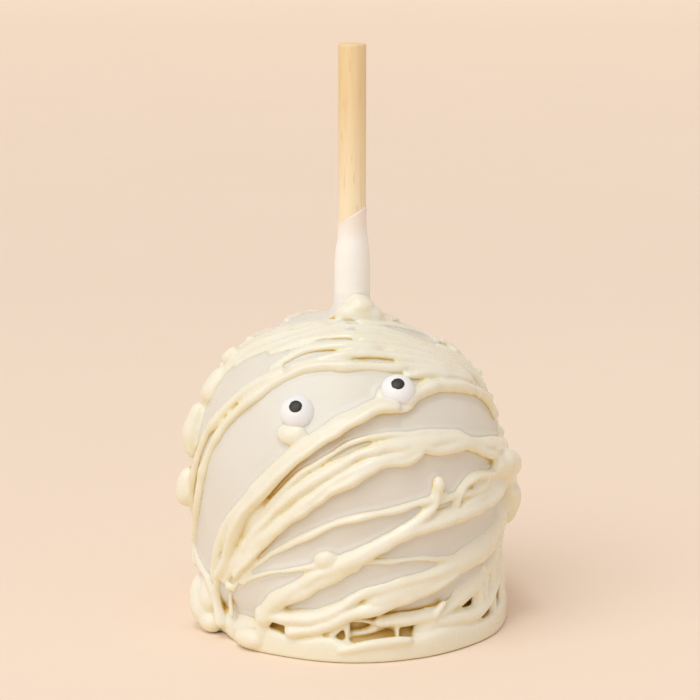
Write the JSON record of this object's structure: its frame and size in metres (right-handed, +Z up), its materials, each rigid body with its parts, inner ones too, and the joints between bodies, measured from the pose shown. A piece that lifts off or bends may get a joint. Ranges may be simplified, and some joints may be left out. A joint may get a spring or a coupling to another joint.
{
  "type": "toffee apple",
  "caption": "White chocolate coated apple on a wooden stick, wrapped in drizzled bandage-like bands, with sugar eyes.",
  "frame": {"origin": "centre of the flat underside of the chocolate foot, on the stick's axis", "axes": "+Z up along the stick, -Y towards the front with the eyes, +X to the right as seen from the front"},
  "size_m": [0.0779, 0.0766, 0.1343],
  "materials": {
    "white_chocolate": "smooth set white chocolate coating, pale ivory, soft satin sheen",
    "drizzle_chocolate": "drizzled white chocolate, creamy ivory with golden creases, satin",
    "birch": "plain unfinished light wood dowel, fine straight grain",
    "sugar_white": "smooth hard white sugar, slightly glossy",
    "sugar_black": "black sugar disc, slightly glossy"
  },
  "bodies": {
    "root": {"coated_apple": "white_chocolate", "drizzle": "drizzle_chocolate", "stick": "birch", "eye_left": "sugar_white", "eye_right": "sugar_white", "pupil_left": "sugar_black", "pupil_right": "sugar_black"}
  },
  "joints": []
}
